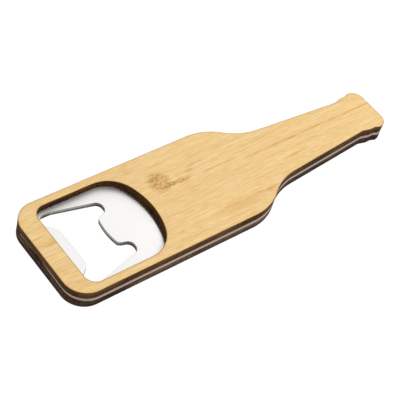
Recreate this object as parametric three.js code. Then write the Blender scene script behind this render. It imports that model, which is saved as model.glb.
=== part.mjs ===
// Souvenir bottle opener in the outline of a long-necked bottle.
//
// A laser-cut stainless plate lies between two matching bamboo panels, and a die-cut sheet of
// double-sided adhesive film bonds each panel to it. Both panels have a D-shaped window near the
// base of the bottle. Inside the windows the plate forms the opener itself: a tab that catches
// under the rim of a crown cap, and a tongue that presses on the cap's top.
//
// Millimetres. X runs from the base of the bottle (-X) to its mouth (+X), Y across it and Z up.
// The origin is on the rear panel's outer face, at the middle of the outline.

import * as THREE from "three";

// Driving dimensions: the whole opener.
const LENGTH = 150;
const BODY_WIDTH = 41.5;
const PANEL_THICKNESS = 2.7;
const FILM_THICKNESS = 0.1;
const PLATE_THICKNESS = 1.8;

// Bottle outline. Stations are measured from the base of the bottle, or from its mouth.
const BASE_RADIUS = 8.5;
const SHOULDER_START = 82.1; // from the base
const SHOULDER_RADIUS = 21;
const NECK_START = 93.6; // from the base
const NECK_START_WIDTH = 23.6;
const NECK_RADIUS = 23.8;
const NECK_END = 12.2; // from the mouth
const NECK_END_WIDTH = 16.5;
const NECK_END_RADIUS = 2;
const COLLAR_START = 9; // from the mouth
const COLLAR_END = 6.4; // from the mouth
const COLLAR_WIDTH = 18.1;
const COLLAR_RADIUS = 1.2;
const LIP_START = 4.7; // from the mouth
const LIP_WIDTH = 19.4;
const LIP_STEP_RADIUS = 0.8;
const LIP_RADIUS = 4.4;

// Window through each panel. Stations are measured from the base of the bottle.
const WINDOW_BASE = 7.4;
const WINDOW_TOP = 44.6;
const WINDOW_WIDTH = 35.3;
const WINDOW_CORNER_RADIUS = 4.3;
const WINDOW_CROWN_RADIUS = 27.9;
const WINDOW_SHOULDER_RADIUS = 11.8;

// Cap mouth through the plate. Stations are measured from the base of the bottle.
const CATCH_TIP = 12.4;
const CATCH_TIP_WIDTH = 16.8;
const CATCH_ROOT_WIDTH = 24;
const CATCH_RADIUS = 3.5;
const CATCH_ROOT_RADIUS = 1.2;
const MOUTH_BASE = 8.4;
const MOUTH_BASE_WIDTH = 34.4;
const MOUTH_CORNER_RADIUS = 3.4;
const NOTCH_END = 31;
const NOTCH_OUTER_WIDTH = 23.4;
const NOTCH_RADIUS = 2.5;
const TONGUE_TIP = 25.8;
const TONGUE_TIP_WIDTH = 11.7;
const TONGUE_ROOT_WIDTH = 14.8;
const TONGUE_CROWN_RADIUS = 24;
const TONGUE_CORNER_RADIUS = 2;

// Fits between the layers.
const PLATE_SETBACK = 0.1; // the plate's rim, inside the panels' rim
const PLATE_BASE_SETBACK = 0.55; // the same at the base of the bottle
const FILM_SETBACK = 0.4; // the films' edges, behind the plate's rim and the edges of the panels' windows

// The arcs' chords leave the true curve by no more than this.
const CHORD_ERROR = 0.005;

const fromBase = (distance) => distance - LENGTH / 2;
const fromMouth = (distance) => LENGTH / 2 - distance;

// Points of an arc, ends included, with enough chords to keep the chord error.
function arc(centre, radius, startAngle, endAngle) {
  const sweep = endAngle - startAngle;
  const largestStep = 2 * Math.acos(1 - CHORD_ERROR / radius);
  const steps = Math.max(2, Math.ceil(Math.abs(sweep) / largestStep));
  const points = [];
  for (let i = 0; i <= steps; i++) {
    const angle = startAngle + (sweep * i) / steps;
    points.push(
      new THREE.Vector2(
        centre.x + radius * Math.cos(angle),
        centre.y + radius * Math.sin(angle),
      ),
    );
  }
  return points;
}

// One corner of a polygon rounded by an arc tangent to both its sides.
function roundedCorner(before, corner, after, radius) {
  const towardsBefore = before.clone().sub(corner).normalize();
  const towardsAfter = after.clone().sub(corner).normalize();
  const halfAngle = Math.acos(towardsBefore.dot(towardsAfter)) / 2;
  const bisector = towardsBefore.clone().add(towardsAfter).normalize();
  const centre = corner
    .clone()
    .addScaledVector(bisector, radius / Math.sin(halfAngle));
  const tangentLength = radius / Math.tan(halfAngle);
  const start = corner
    .clone()
    .addScaledVector(towardsBefore, tangentLength)
    .sub(centre);
  const end = corner
    .clone()
    .addScaledVector(towardsAfter, tangentLength)
    .sub(centre);
  const sweep = Math.atan2(start.cross(end), start.dot(end));
  const startAngle = start.angle();
  return arc(centre, radius, startAngle, startAngle + sweep);
}

// The rounded corners of a chain of straight sides, each corner given as [x, y, radius]. The
// points before and after them only say where the first and last sides run.
function roundedChain(before, corners, after) {
  const places = [before, ...corners, after].map(([x, y]) => new THREE.Vector2(x, y));
  return corners.flatMap(([, , radius], i) =>
    roundedCorner(places[i], places[i + 1], places[i + 2], radius),
  );
}

// Half of an end that is closed by a shallow crown: a fillet that leaves a straight side, then
// the crown's arc up to its apex on the centre line. The side runs from one [x, y] to another, on
// the +Y side, and the end faces the way the side runs.
function crownedEnd(sideStart, sideEnd, apex, crownRadius, filletRadius) {
  const start = new THREE.Vector2(...sideStart);
  const along = new THREE.Vector2(...sideEnd).sub(start).normalize();
  const facing = Math.sign(along.x);
  const outwards = new THREE.Vector2(-along.y, along.x).multiplyScalar(facing);
  const crownCentre = new THREE.Vector2(apex - facing * crownRadius, 0);

  // The fillet's centre is one radius in from the side, and touches the crown from inside.
  const filletLine = start.clone().addScaledVector(outwards, -filletRadius);
  const offset = filletLine.clone().sub(crownCentre);
  const reach = offset.dot(along);
  const gap = crownRadius - filletRadius;
  const distance = Math.sqrt(reach ** 2 - offset.lengthSq() + gap ** 2) - reach;
  const filletCentre = filletLine.addScaledVector(along, distance);

  const meetingAngle = filletCentre.clone().sub(crownCentre).angle();
  const apexAngle = facing > 0 ? 0 : Math.PI;
  return [
    ...arc(filletCentre, filletRadius, outwards.angle(), meetingAngle),
    ...arc(crownCentre, crownRadius, meetingAngle, apexAngle).slice(1),
  ];
}

// A closed outline, anticlockwise seen from above, made from its half on the +Y side. The half
// starts at the end nearest the base, and a point on the centre line is used once.
function mirrored(half) {
  const otherHalf = half
    .filter((point) => point.y > CHORD_ERROR)
    .map((point) => new THREE.Vector2(point.x, -point.y));
  return [...otherHalf, ...half.toReversed()];
}

// An anticlockwise outline with every side moved inwards, or outwards where the distance is
// negative.
function inset(outline, distance) {
  const normalOf = (from, to) => {
    const along = to.clone().sub(from).normalize();
    return new THREE.Vector2(-along.y, along.x);
  };
  return outline.map((point, i) => {
    const previous = outline.at(i - 1);
    const next = outline[(i + 1) % outline.length];
    const normal = normalOf(previous, point);
    const bisector = normal.clone().add(normalOf(point, next)).normalize();
    return point
      .clone()
      .addScaledVector(bisector, distance / bisector.dot(normal));
  });
}

// The bottle's outline, with its base end at the X given.
function bottleOutline(baseEnd) {
  return mirrored(
    roundedChain(
      [baseEnd, 0],
      [
        [baseEnd, BODY_WIDTH / 2, BASE_RADIUS],
        [fromBase(SHOULDER_START), BODY_WIDTH / 2, SHOULDER_RADIUS],
        [fromBase(NECK_START), NECK_START_WIDTH / 2, NECK_RADIUS],
        [fromMouth(NECK_END), NECK_END_WIDTH / 2, NECK_END_RADIUS],
        [fromMouth(COLLAR_START), COLLAR_WIDTH / 2, COLLAR_RADIUS],
        [fromMouth(COLLAR_END), COLLAR_WIDTH / 2, LIP_STEP_RADIUS],
        [fromMouth(LIP_START), LIP_WIDTH / 2, LIP_STEP_RADIUS],
        [fromMouth(0), LIP_WIDTH / 2, LIP_RADIUS],
      ],
      [fromMouth(0), 0],
    ),
  );
}

function windowOutline() {
  const corner = [fromBase(WINDOW_BASE), WINDOW_WIDTH / 2];
  const sideEnd = [fromBase(WINDOW_TOP), WINDOW_WIDTH / 2];
  const base = roundedChain(
    [fromBase(WINDOW_BASE), 0],
    [[...corner, WINDOW_CORNER_RADIUS]],
    sideEnd,
  );
  const top = crownedEnd(
    corner,
    sideEnd,
    fromBase(WINDOW_TOP),
    WINDOW_CROWN_RADIUS,
    WINDOW_SHOULDER_RADIUS,
  );
  return mirrored([...base, ...top]);
}

function mouthOutline() {
  const tongueRoot = [fromBase(NOTCH_END), TONGUE_ROOT_WIDTH / 2];
  const tongueTip = [fromBase(TONGUE_TIP), TONGUE_TIP_WIDTH / 2];
  const catchAndNotch = roundedChain(
    [fromBase(CATCH_TIP), 0],
    [
      [fromBase(CATCH_TIP), CATCH_TIP_WIDTH / 2, CATCH_RADIUS],
      [fromBase(MOUTH_BASE), CATCH_ROOT_WIDTH / 2, CATCH_ROOT_RADIUS],
      [fromBase(MOUTH_BASE), MOUTH_BASE_WIDTH / 2, MOUTH_CORNER_RADIUS],
      [fromBase(NOTCH_END), NOTCH_OUTER_WIDTH / 2, NOTCH_RADIUS],
      [...tongueRoot, NOTCH_RADIUS],
    ],
    tongueTip,
  );
  const tongue = crownedEnd(
    tongueRoot,
    tongueTip,
    fromBase(TONGUE_TIP),
    TONGUE_CROWN_RADIUS,
    TONGUE_CORNER_RADIUS,
  );
  return mirrored([...catchAndNotch, ...tongue]);
}

// A flat layer with one opening, lying on the height given.
function layer(name, outline, opening, bottom, thickness, material) {
  const shape = new THREE.Shape(outline);
  shape.holes.push(new THREE.Path(opening));
  const geometry = new THREE.ExtrudeGeometry(shape, {
    depth: thickness,
    bevelEnabled: false,
  });
  const piece = new THREE.Mesh(geometry, material);
  piece.name = name;
  piece.position.z = bottom;
  return piece;
}

const bamboo = () =>
  new THREE.MeshStandardMaterial({ color: 0xefcb92, roughness: 0.6 });
const stainless = () =>
  new THREE.MeshStandardMaterial({
    color: 0xd9d7d3,
    roughness: 0.3,
    metalness: 1,
  });
const adhesive = () =>
  new THREE.MeshStandardMaterial({ color: 0xcfc7b4, roughness: 0.5 });

const panelRim = bottleOutline(fromBase(0));
const panelOpening = windowOutline();
const plateBaseEnd = fromBase(PLATE_BASE_SETBACK - PLATE_SETBACK); // before the setback all round
const plateRim = inset(bottleOutline(plateBaseEnd), PLATE_SETBACK);
const plateOpening = mouthOutline();
const filmRim = inset(plateRim, FILM_SETBACK);
const filmOpening = inset(panelOpening, -FILM_SETBACK);

// The layers from the rear face up.
const stack = [
  ["rear_panel", panelRim, panelOpening, PANEL_THICKNESS, bamboo()],
  ["rear_adhesive_film", filmRim, filmOpening, FILM_THICKNESS, adhesive()],
  ["opener_plate", plateRim, plateOpening, PLATE_THICKNESS, stainless()],
  ["front_adhesive_film", filmRim, filmOpening, FILM_THICKNESS, adhesive()],
  ["front_panel", panelRim, panelOpening, PANEL_THICKNESS, bamboo()],
];

const opener = new THREE.Group();
let height = 0;
for (const [name, outline, opening, thickness, material] of stack) {
  opener.add(layer(name, outline, opening, height, thickness, material));
  height += thickness;
}

export default opener;
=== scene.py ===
"""Looks of a souvenir bottle opener: a stainless plate between two bamboo panels.

The panels and the plate are made again from their flat CAD layers, as sheets with softly rounded
edges. Their cut edges are marked on the mesh, so that the bamboo can be burnt there and the steel
can be dull. The two adhesive films keep their CAD meshes. Lengths are in metres, and material
patterns are in millimetres.
"""

import math

import bmesh
import bpy
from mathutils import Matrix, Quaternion, Vector


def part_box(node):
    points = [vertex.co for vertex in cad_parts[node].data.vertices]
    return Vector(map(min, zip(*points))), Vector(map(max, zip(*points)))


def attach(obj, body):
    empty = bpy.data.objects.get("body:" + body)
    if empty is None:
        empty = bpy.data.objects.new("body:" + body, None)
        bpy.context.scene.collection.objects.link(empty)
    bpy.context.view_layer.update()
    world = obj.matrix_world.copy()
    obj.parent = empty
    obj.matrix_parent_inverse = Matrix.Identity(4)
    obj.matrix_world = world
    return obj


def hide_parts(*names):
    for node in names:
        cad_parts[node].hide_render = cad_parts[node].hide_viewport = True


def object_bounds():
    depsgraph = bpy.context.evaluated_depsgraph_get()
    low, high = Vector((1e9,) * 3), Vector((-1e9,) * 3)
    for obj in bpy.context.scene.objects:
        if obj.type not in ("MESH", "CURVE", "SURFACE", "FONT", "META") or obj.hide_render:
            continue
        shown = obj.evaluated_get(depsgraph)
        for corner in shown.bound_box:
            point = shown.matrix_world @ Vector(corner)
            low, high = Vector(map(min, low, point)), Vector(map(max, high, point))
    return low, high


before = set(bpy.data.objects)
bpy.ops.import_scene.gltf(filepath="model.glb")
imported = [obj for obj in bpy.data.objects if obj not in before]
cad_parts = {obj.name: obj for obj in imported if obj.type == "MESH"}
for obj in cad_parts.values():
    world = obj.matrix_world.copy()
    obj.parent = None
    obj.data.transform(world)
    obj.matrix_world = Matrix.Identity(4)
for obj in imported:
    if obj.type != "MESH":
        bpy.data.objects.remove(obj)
cad_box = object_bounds()

# The opener's size, from the frame.
MM = 0.001
LOW, HIGH = cad_box
LENGTH, WIDTH = (HIGH - LOW).xy
MIDDLE = (LOW + HIGH) / 2

# Sheets.
WELD = 0.001 * MM  # corners nearer than this are one
FACING_UP = 0.5  # a face whose normal rises more than this is part of a layer's front face
EDGE_STEPS = 4
PANEL_EDGE_RADIUS = 0.13 * MM
PANEL_SCORCH = 0.7 * MM  # how far the heat of the cut tints a panel's faces
PLATE_EDGE_RADIUS = 0.1 * MM
PLATE_BORDER = 0.3 * MM

# Camera. Angles in degrees, lens in millimetres.
AZIMUTH, ELEVATION, ROLL = -50.04, 47.88, 16.76
FOCAL_LENGTH = 112.7
CAMERA_DISTANCE = 2.881 * LENGTH
AIM_TOWARDS_BASE = 0.0942 * LENGTH
AIM_TOWARDS_NEAR_SIDE = 0.0389 * LENGTH
AIM = Vector((MIDDLE.x - AIM_TOWARDS_BASE, MIDDLE.y - AIM_TOWARDS_NEAR_SIDE, HIGH.z))
NEAREST_SEEN, FARTHEST_SEEN = 0.1 * LENGTH, 100 * LENGTH

# Studio.
SKY_STRENGTH = 1.03
FLOOR_GLOW = 0.92  # keeps the floor white under the object
FLOOR_RADIUS = 20 * LENGTH
FLOOR_GAP = 0.01 * MM

# Patterns.
FRONT_SEED, REAR_SEED = 1, 31  # a panel takes nine seeds, from this one on
SEED_SHIFT = (7.31, 3.17, 5.83)  # how far one step of the seed moves a noise, in cells
SPOT_BORDER = (0.5, 1.1)  # where a spot fades out, in shares of its radii


def colour(red, green, blue):
    """A linear colour as the sockets take it."""
    return (red, green, blue, 1.0)


# Bamboo. The tones run from the darkest fibres to the palest, and each tint multiplies them.
FIBRE_TONES = (
    (0.30, colour(0.560, 0.350, 0.125)),
    (0.41, colour(0.665, 0.440, 0.178)),
    (0.50, colour(0.735, 0.510, 0.225)),
    (0.59, colour(0.790, 0.570, 0.277)),
    (0.70, colour(0.835, 0.635, 0.345)),
)
PALE_BAND_TINT = colour(1.0, 0.992, 1.07)
DASH_TINT = colour(0.84, 0.74, 0.56)
KNUCKLE_TINT = colour(0.90, 0.81, 0.67)
SPECKLE_TINT = colour(0.60, 0.51, 0.45)
STREAK_TINT = colour(0.82, 0.68, 0.47)
TOAST_TINT = colour(0.72, 0.58, 0.42)
CHAR_STOPS = (0.36, 0.50, 0.64)  # from the darkest char to the lightest, as the chars below are
WARM_CHAR = (colour(0.027, 0.010, 0.002), colour(0.054, 0.023, 0.006), colour(0.090, 0.042, 0.011))
DARK_CHAR = (colour(0.024, 0.012, 0.007), colour(0.062, 0.037, 0.021), colour(0.120, 0.077, 0.047))

# Steel.
BRUSHED_TONES = (colour(0.85, 0.84, 0.82), colour(0.93, 0.92, 0.905))
# The cut edge in the cap mouth, from its rear to its front: a burnished zone over a rough one, kept dark as
# a painted reflection of the shaded floor under the plate.
OPENING_TONES = (colour(0.10, 0.09, 0.08), colour(0.39, 0.36, 0.335))
# The cut edge on the rim, from darker towards the panels to lighter along a band near its middle.
RIM_TONES = (colour(0.09, 0.06, 0.04), colour(0.44, 0.35, 0.29))
# Painted shade for the cut edge at the mouth's notches.
NOTCH_SHADE_TINT = colour(0.5, 0.5, 0.5)

# Adhesive.
FILM_TONES = (colour(0.12, 0.09, 0.06), colour(0.30, 0.25, 0.18))


def face_loops(node):
    """The outlines of a flat layer's front face, as points (x, y) with the material on the left."""
    layer = bmesh.new()
    layer.from_mesh(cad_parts[node].data)
    bmesh.ops.remove_doubles(layer, verts=layer.verts, dist=WELD)
    layer.normal_update()
    following = {}
    for face in layer.faces:
        if face.normal.z < FACING_UP:
            continue
        for corner in face.loops:
            neighbour = corner.link_loop_radial_next.face
            if neighbour.normal.z < FACING_UP:
                following[corner.vert] = corner.link_loop_next.vert
    loops = []
    while following:
        start, vert = following.popitem()
        points = [start.co.xy]
        while vert != start:
            points.append(vert.co.xy)
            vert = following.pop(vert)
        loops.append(points)
    layer.free()
    return loops


def inset(loop, distance):
    """The loop moved into the material on its left."""
    moved = []
    for i, point in enumerate(loop):
        before = (point - loop[i - 1]).normalized()
        after = (loop[(i + 1) % len(loop)] - point).normalized()
        normal = Vector((-before.y, before.x))
        bisector = (normal + Vector((-after.y, after.x))).normalized()
        moved.append(point + bisector * (distance / bisector.dot(normal)))
    return moved


def signed_area(loop):
    """Positive where the loop runs anticlockwise, as the outer rim does."""
    return sum(loop[i - 1].cross(point) for i, point in enumerate(loop)) / 2


def rounded_rim(radius, border, cut_on_face):
    """(inset, depth below the face, cut) of each ring from the cut wall to the face.

    cut is 1 on the wall, changes to cut_on_face over the rounding and to 0 over the border."""
    rings = []
    for step in range(EDGE_STEPS + 1):
        share = step / EDGE_STEPS
        angle = share * math.pi / 2
        cut = 1 + share * (cut_on_face - 1)
        rings.append((radius * (1 - math.cos(angle)), radius * (1 - math.sin(angle)), cut))
    return rings + [(radius + border, 0.0, 0.0)]


def bonded_rim(border):
    """The same where the sheet is glued to its neighbour: a sharp corner, burnt as the wall is."""
    return [(0.0, 0.0, 1.0), (border, 0.0, 1.0)]


def make_sheet(name, node, rear_rim, front_rim):
    """A sheet in the place of a flat CAD layer, with its rims as given and smooth shading."""
    low, high = (corner.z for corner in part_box(node))
    profile = [(distance, low + depth, cut) for distance, depth, cut in reversed(rear_rim)]
    profile += [(distance, high - depth, cut) for distance, depth, cut in front_rim]
    sheet = bmesh.new()
    cut_value = sheet.verts.layers.float.new("cut")
    rim_value = sheet.verts.layers.float.new("rim")
    face_edges = {low: [], high: []}
    for loop in face_loops(node):
        on_rim = 1.0 if signed_area(loop) > 0 else 0.0
        rings = []
        for distance, height, cut in profile:
            ring = [sheet.verts.new((*point, height)) for point in inset(loop, distance)]
            for vert in ring:
                vert[cut_value] = cut
                vert[rim_value] = on_rim
            rings.append(ring)
        for lower, upper in zip(rings, rings[1:]):
            for i in range(len(loop)):
                sheet.faces.new((lower[i - 1], lower[i], upper[i], upper[i - 1]))
        for height, ring in ((low, rings[0]), (high, rings[-1])):
            face_edges[height] += [sheet.edges.get((ring[i - 1], ring[i])) for i in range(len(ring))]
    for height, normal in ((low, (0, 0, -1)), (high, (0, 0, 1))):
        bmesh.ops.triangle_fill(sheet, use_beauty=True, edges=face_edges[height], normal=normal)
    bmesh.ops.recalc_face_normals(sheet, faces=sheet.faces)
    for face in sheet.faces:
        face.smooth = True
    mesh = bpy.data.meshes.new(name)
    sheet.to_mesh(mesh)
    sheet.free()
    piece = bpy.data.objects.new(name, mesh)
    bpy.context.scene.collection.objects.link(piece)
    piece.modifiers.new("flat faces shade flat", "WEIGHTED_NORMAL")
    return piece


class Look:
    """One material, with a short call for each kind of node. Patterns are in millimetres."""

    def __init__(self, name):
        self.material = bpy.data.materials.new(name)
        self.material.use_nodes = True
        self.tree = self.material.node_tree
        self.shader = self.tree.nodes["Principled BSDF"]
        place = self.add("ShaderNodeTexCoord").outputs["Object"]
        self.place = self.vector("MULTIPLY", place, (1 / MM, 1 / MM, 1 / MM))

    def add(self, kind, **settings):
        node = self.tree.nodes.new(kind)
        for name, value in settings.items():
            setattr(node, name, value)
        return node

    def feed(self, node, inputs):
        """Links or sets each input, named or numbered, and returns the node."""
        for key, value in inputs.items():
            if isinstance(value, bpy.types.NodeSocket):
                self.tree.links.new(value, node.inputs[key])
            else:
                node.inputs[key].default_value = value
        return node

    def set(self, **inputs):
        """Links or sets the shader's inputs, with an underscore for each space in a name."""
        self.feed(self.shader, {name.replace("_", " "): value for name, value in inputs.items()})

    def vector(self, operation, *values):
        node = self.add("ShaderNodeVectorMath", operation=operation)
        self.feed(node, dict(enumerate(values)))
        return node.outputs["Value" if operation == "LENGTH" else "Vector"]

    def math(self, operation, *values):
        node = self.add("ShaderNodeMath", operation=operation)
        return self.feed(node, dict(enumerate(values))).outputs[0]

    def weighted(self, *terms):
        """The sum of each value times its weight."""
        total = 0.0
        for value, weight in terms:
            total = self.math("MULTIPLY_ADD", value, weight, total)
        return total

    def ease(self, value, low, high, to_low=0.0, to_high=1.0):
        """The value's range low to high, eased onto another range."""
        node = self.add("ShaderNodeMapRange", interpolation_type="SMOOTHSTEP")
        inputs = {"Value": value, "From Min": low, "From Max": high, "To Min": to_low, "To Max": to_high}
        return self.feed(node, inputs).outputs["Result"]

    def blend(self, factor, first, second, mode="MIX"):
        node = self.add("ShaderNodeMix", data_type="RGBA", blend_type=mode)
        self.feed(node, {0: factor, 6: first, 7: second})
        return node.outputs[2]

    def tint(self, surface, tone, factor, strength=1.0):
        """The surface multiplied by the tone, as far as the factor times the strength says."""
        return self.blend(self.math("MULTIPLY", factor, strength), surface, tone, "MULTIPLY")

    def ramp(self, value, *stops):
        node = self.add("ShaderNodeValToRGB")
        elements = node.color_ramp.elements
        for position, _ in stops[2:]:
            elements.new(position)
        for element, (position, tone) in zip(elements, stops):
            element.position = position
            element.color = tone
        return self.feed(node, {"Fac": value}).outputs["Color"]

    def noise(self, cell, seed, detail=2.0, roughness=0.5):
        """Noise from 0 to 1, whose largest features are cell = (x, y, z) millimetres."""
        scaling = self.add("ShaderNodeMapping")
        offset = [shift * seed for shift in SEED_SHIFT]
        self.feed(scaling, {"Vector": self.place, "Location": offset, "Scale": [1 / size for size in cell]})
        noise = self.add("ShaderNodeTexNoise")
        settings = {"Vector": scaling.outputs[0], "Scale": 1.0, "Detail": detail, "Roughness": roughness}
        return self.feed(noise, settings).outputs["Fac"]

    def spot(self, centre, radii):
        """1 inside an ellipse on the faces and 0 outside, with a soft border. Millimetres."""
        offset = self.vector("SUBTRACT", self.place, (*centre, 0.0))
        shares = self.vector("MULTIPLY", offset, (1 / radii[0], 1 / radii[1], 0.0))
        return self.ease(self.vector("LENGTH", shares), *SPOT_BORDER, to_low=1.0, to_high=0.0)

    def attribute(self, name):
        return self.add("ShaderNodeAttribute", attribute_name=name).outputs["Fac"]

    def rise(self, node):
        """0 at the rear face of a flat CAD layer and 1 at its front face."""
        low, high = (corner.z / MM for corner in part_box(node))
        height = self.feed(self.add("ShaderNodeSeparateXYZ"), {0: self.place}).outputs["Z"]
        return self.math("DIVIDE", self.math("SUBTRACT", height, low), high - low)

    def relief(self, height, depth):
        """The normal of a relief whose height, from 0 to 1, stands for that depth in metres."""
        return self.feed(self.add("ShaderNodeBump"), {"Height": height, "Distance": depth}).outputs[0]


def bamboo_face(look, seed):
    """The sanded face as (colour, grain, dashes): lengthwise fibres, pale bands and short dashes."""
    fibres = look.noise((80, 1.8, 1.8), seed, detail=5, roughness=0.75)
    flecks = look.noise((14, 0.6, 0.6), seed + 1, detail=3, roughness=0.75)
    hairs = look.noise((4, 0.45, 0.45), seed + 8, detail=2)
    grain = look.weighted((fibres, 0.38), (flecks, 0.38), (hairs, 0.32), (0.04, -1.0))
    surface = look.ramp(grain, *FIBRE_TONES)
    pale = look.ease(look.noise((25, 3, 3), seed + 2), 0.35, 0.65)
    surface = look.tint(surface, PALE_BAND_TINT, pale)
    dashes = look.ease(look.noise((5, 0.3, 0.3), seed + 3, detail=1), 0.6, 0.72)
    return look.tint(surface, DASH_TINT, dashes, 0.5), grain, dashes


def bamboo_marks(look, surface, seed, knuckles, streaks):
    """Adds speckled knuckles, given as (centre, radii), and streaks, as (centre, radii, strength)."""
    speckle = look.noise((1.2, 0.7, 0.7), seed + 4, detail=2, roughness=0.7)
    speckle = look.ease(speckle, 0.40, 0.60)
    for centre, radii in knuckles:
        spot = look.spot(centre, radii)
        surface = look.tint(surface, KNUCKLE_TINT, spot, 0.8)
        surface = look.tint(surface, SPECKLE_TINT, look.math("MULTIPLY", spot, speckle), 0.8)
    threads = look.noise((6, 0.5, 0.5), seed + 5, detail=2, roughness=0.7)
    threads = look.ease(threads, 0.36, 0.6, to_low=0.2)
    for centre, radii, strength in streaks:
        thread = look.math("MULTIPLY", look.spot(centre, radii), threads)
        surface = look.tint(surface, STREAK_TINT, thread, strength)
    return surface


def bamboo_cut(look, surface, node, seed, char, darker_char_spots):
    """Chars the cut walls and toasts the faces beside them, as (colour, soot, burnt).

    char has a colour for each of CHAR_STOPS. The last argument gives places (centre, radii) where the char
    is darker. The char also darkens towards the panel's rear face, as painted shade."""
    soot = look.noise((0.6, 0.6, 8), seed + 6, detail=3)
    cut = look.weighted((look.attribute("cut"), 1.0), (soot, 0.24), (0.12, -1.0))
    surface = look.tint(surface, TOAST_TINT, look.ease(cut, 0.1, 0.55, to_high=0.5))
    patches = look.noise((14, 14, 2.5), seed + 7)
    # The rise term darkens the char towards the panel's rear face: painted shade at the foot of the wall.
    depth = look.weighted((patches, 0.6), (soot, 0.4), (look.rise(node), 0.18), (0.09, -1.0))
    # Darker char at the given places; at the base end this is painted shade.
    for centre, radii in darker_char_spots:
        depth = look.weighted((look.spot(centre, radii), -0.13), (depth, 1.0))
    charred = look.ramp(depth, *zip(CHAR_STOPS, char))
    burnt = look.ease(cut, 0.5, 0.72)
    return look.blend(burnt, surface, charred), soot, burnt


def bamboo(name, node, seed, knuckles, streaks, char, darker_char_spots):
    """Sanded bamboo veneer with laser-burnt edges."""
    look = Look(name)
    surface, grain, dashes = bamboo_face(look, seed)
    surface = bamboo_marks(look, surface, seed, knuckles, streaks)
    surface, soot, burnt = bamboo_cut(look, surface, node, seed, char, darker_char_spots)
    look.set(Base_Color=surface, Specular_IOR_Level=0.06)
    face_roughness = look.ease(grain, 0.35, 0.65, to_low=0.6, to_high=0.5)
    look.set(Roughness=look.weighted((face_roughness, 1.0), (burnt, 0.25)))
    pores = look.weighted((grain, 1.0), (dashes, -0.4), (look.math("MULTIPLY", soot, burnt), 1.5))
    look.set(Normal=look.relief(pores, depth=0.04 * MM))
    return look.material


def steel_edge(look, node, striations, shade_spots):
    """The cut edge's colour: in the cap mouth, darker towards the rear face (a burnished zone, and a
    painted reflection of the shaded floor) with painted shade at the notches; on the rim, lighter along a
    wavering band.
    """
    rise = look.rise(node)
    # In the mouth the edge darkens towards its rear face: partly a burnished zone, partly a painted
    # reflection of the shaded floor under the plate.
    lit_zone = look.weighted((rise, 1.0), (striations, 0.5), (0.25, -1.0))
    opening = look.blend(look.ease(lit_zone, 0.25, 0.7), *OPENING_TONES)
    # Painted shade on the mouth's edge at the notches.
    for centre, radii in shade_spots:
        opening = look.tint(opening, NOTCH_SHADE_TINT, look.spot(centre, radii))
    # On the rim the edge is lighter along a wavering band near its middle and darker towards the panels.
    drift = look.noise((25, 25, 25), seed=15)
    from_centre = look.math("ABSOLUTE", look.weighted((rise, 1.0), (drift, -0.25), (0.09, -1.0)))
    ragged = look.weighted((from_centre, 1.0), (striations, -0.3), (0.15, 1.0))
    rim = look.blend(look.ease(ragged, 0.15, 0.8, to_low=1.0, to_high=0.0), *RIM_TONES)
    return look.blend(look.attribute("rim"), opening, rim)


def brushed_steel(name, node, shade_spots):
    """Stainless sheet brushed lengthwise, with cut edges. The last argument gives places (centre, radii) of
    painted shade on the mouth's cut edge.
    """
    look = Look(name)
    clouds = look.noise((30, 12, 12), seed=11)
    lines = look.noise((45, 0.5, 0.5), seed=12, detail=3, roughness=0.8)
    face = look.blend(look.weighted((lines, 0.6), (clouds, 0.4)), *BRUSHED_TONES)
    striations = look.noise((0.35, 0.35, 5), seed=14, detail=3)
    edge = steel_edge(look, node, striations, shade_spots)
    on_edge = look.ease(look.attribute("cut"), 0.35, 0.7)
    look.set(Base_Color=look.blend(on_edge, face, edge), Metallic=1.0, Anisotropic=1.0)
    look.set(Roughness=look.weighted((lines, 0.06), (on_edge, 0.2), (0.23, 1.0)))
    scored = look.math("MULTIPLY", striations, on_edge)
    look.set(Normal=look.relief(look.weighted((scored, 1.0), (lines, 0.1)), depth=0.01 * MM))
    tangent = look.add("ShaderNodeTangent", direction_type="RADIAL", axis="X")
    look.set(Tangent=tangent.outputs[0])
    return look.material


def adhesive_film(name):
    """Translucent adhesive, browned a little by the cut."""
    look = Look(name)
    mottle = look.noise((1.5, 1.5, 1.5), seed=21, detail=3)
    look.set(Base_Color=look.blend(mottle, *FILM_TONES))
    look.set(Roughness=look.ease(mottle, 0.3, 0.7, to_low=0.35, to_high=0.6))
    look.set(Normal=look.relief(mottle, depth=0.02 * MM))
    return look.material


def on_face(x_share, y_share):
    """A place on the faces in millimetres, from shares of the half length and the half width."""
    return (x_share * LENGTH / 2 / MM, y_share * WIDTH / 2 / MM)


def add_piece(piece, node, material):
    """Shows the piece with that material in the place of the CAD node."""
    piece.data.materials.append(material)
    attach(piece, "root")
    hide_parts(node)


def make_front_panel():
    knuckles = [
        (on_face(-0.295, 0.36), (5.0, 5.1)),
        (on_face(-0.21, 0.22), (6.0, 1.2)),
    ]
    streaks = [
        (on_face(0.03, 0.19), (13.0, 0.5), 1.0),
        (on_face(-0.08, 0.43), (5.0, 0.7), 0.6),
        (on_face(-0.13, 0.35), (2.5, 0.8), 0.5),
        (on_face(0.03, -0.68), (17.0, 3.2), 0.6),
        (on_face(0.17, -0.66), (2.6, 2.2), 0.6),
        (on_face(-0.93, 0.12), (5.0, 0.5), 1.0),
        (on_face(0.62, 0.11), (45.0, 0.5), 1.0),
        (on_face(0.42, -0.23), (9.0, 0.4), 1.0),
    ]
    rim = rounded_rim(PANEL_EDGE_RADIUS, PANEL_SCORCH, cut_on_face=0.58)
    panel = make_sheet("front_panel_wood", "front_panel", bonded_rim(PANEL_SCORCH), rim)
    material = bamboo("front_bamboo", "front_panel", FRONT_SEED, knuckles, streaks, WARM_CHAR, darker_char_spots=[])
    add_piece(panel, "front_panel", material)


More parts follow.
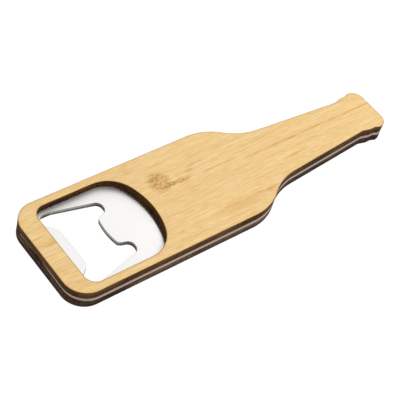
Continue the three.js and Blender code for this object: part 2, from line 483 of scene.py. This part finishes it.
def make_rear_panel():
    knuckles = [
        (on_face(0.17, -0.32), (4.6, 4.2)),
        (on_face(0.20, 0.62), (3.6, 3.4)),
    ]
    streaks = [
        (on_face(0.05, -0.10), (9.0, 0.6), 1.0),
        (on_face(-0.12, 0.45), (15.0, 0.5), 1.0),
    ]
    # The char is darker at the base end, painted shade where less light reaches, and also at the neck end.
    darker_char_spots = [(on_face(-1, 0), (24, 60)), (on_face(0.85, 0), (50, 60))]
    rim = rounded_rim(PANEL_EDGE_RADIUS, PANEL_SCORCH, cut_on_face=1.0)
    panel = make_sheet("rear_panel_wood", "rear_panel", rim, bonded_rim(PANEL_SCORCH))
    material = bamboo("rear_bamboo", "rear_panel", REAR_SEED, knuckles, streaks, DARK_CHAR, darker_char_spots)
    add_piece(panel, "rear_panel", material)


def make_plate():
    rim = rounded_rim(PLATE_EDGE_RADIUS, PLATE_BORDER, cut_on_face=0.5)
    plate = make_sheet("opener_plate_steel", "opener_plate", rim, rim)
    # Painted shade on the cut edge at the mouth's two notches.
    shaded_notches = [(on_face(-0.60, side * 0.46), (4.5, 4.0)) for side in (-1, 1)]
    material = brushed_steel("brushed_steel", "opener_plate", shaded_notches)
    add_piece(plate, "opener_plate", material)


def finish_films():
    adhesive = adhesive_film("adhesive_film")
    for node in ("front_adhesive_film", "rear_adhesive_film"):
        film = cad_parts[node]
        film.data.materials.clear()
        film.data.materials.append(adhesive)


def make_floor():
    look = Look("studio_floor")
    look.set(Base_Color=colour(0.18, 0.18, 0.18), Roughness=0.9, Specular_IOR_Level=0.0)
    look.set(Emission_Color=colour(1, 1, 1), Emission_Strength=FLOOR_GLOW)
    disc = bmesh.new()
    bmesh.ops.create_circle(disc, cap_ends=True, segments=96, radius=FLOOR_RADIUS)
    mesh = bpy.data.meshes.new("floor")
    disc.to_mesh(mesh)
    disc.free()
    mesh.materials.append(look.material)
    floor = bpy.data.objects.new("floor", mesh)
    floor.location.z = LOW.z - FLOOR_GAP
    bpy.context.scene.collection.objects.link(floor)


def towards(azimuth, elevation):
    """The direction from the object to a place at that azimuth and elevation, in degrees."""
    a, e = math.radians(azimuth), math.radians(elevation)
    return Vector((math.sin(a) * math.cos(e), -math.cos(a) * math.cos(e), math.sin(e)))


def make_light(name, azimuth, elevation, distance, size, radiance):
    light = bpy.data.lights.new(name, "AREA")
    light.size = size
    light.energy = radiance * math.pi * size * size
    lamp = bpy.data.objects.new(name, light)
    direction = towards(azimuth, elevation)
    lamp.location = MIDDLE + direction * distance
    lamp.rotation_mode = "QUATERNION"
    lamp.rotation_quaternion = direction.to_track_quat("Z", "Y")
    bpy.context.scene.collection.objects.link(lamp)


def make_studio():
    world = bpy.data.worlds.new("studio")
    world.use_nodes = True
    sky = world.node_tree.nodes["Background"]
    sky.inputs["Color"].default_value = colour(1, 1, 1)
    sky.inputs["Strength"].default_value = SKY_STRENGTH
    bpy.context.scene.world = world
    make_light(
        "neck_end", azimuth=60, elevation=50, distance=1.8 * LENGTH, size=1.2 * LENGTH, radiance=1.35
    )
    make_light(
        "near_side", azimuth=10, elevation=25, distance=5 * LENGTH, size=3 * LENGTH, radiance=0.6
    )
    make_floor()


def make_camera():
    camera = bpy.data.objects.new("camera", bpy.data.cameras.new("camera"))
    camera.data.lens = FOCAL_LENGTH
    camera.data.clip_start = NEAREST_SEEN
    camera.data.clip_end = FARTHEST_SEEN
    back = towards(AZIMUTH, ELEVATION)
    camera.location = AIM + back * CAMERA_DISTANCE
    camera.rotation_mode = "QUATERNION"
    level = (-back).to_track_quat("-Z", "Y")
    camera.rotation_quaternion = level @ Quaternion((0, 0, 1), math.radians(ROLL))
    bpy.context.scene.collection.objects.link(camera)
    bpy.context.scene.camera = camera
    bpy.context.scene.view_settings.view_transform = "Standard"


make_camera()
make_studio()
make_front_panel()
make_rear_panel()
make_plate()
finish_films()
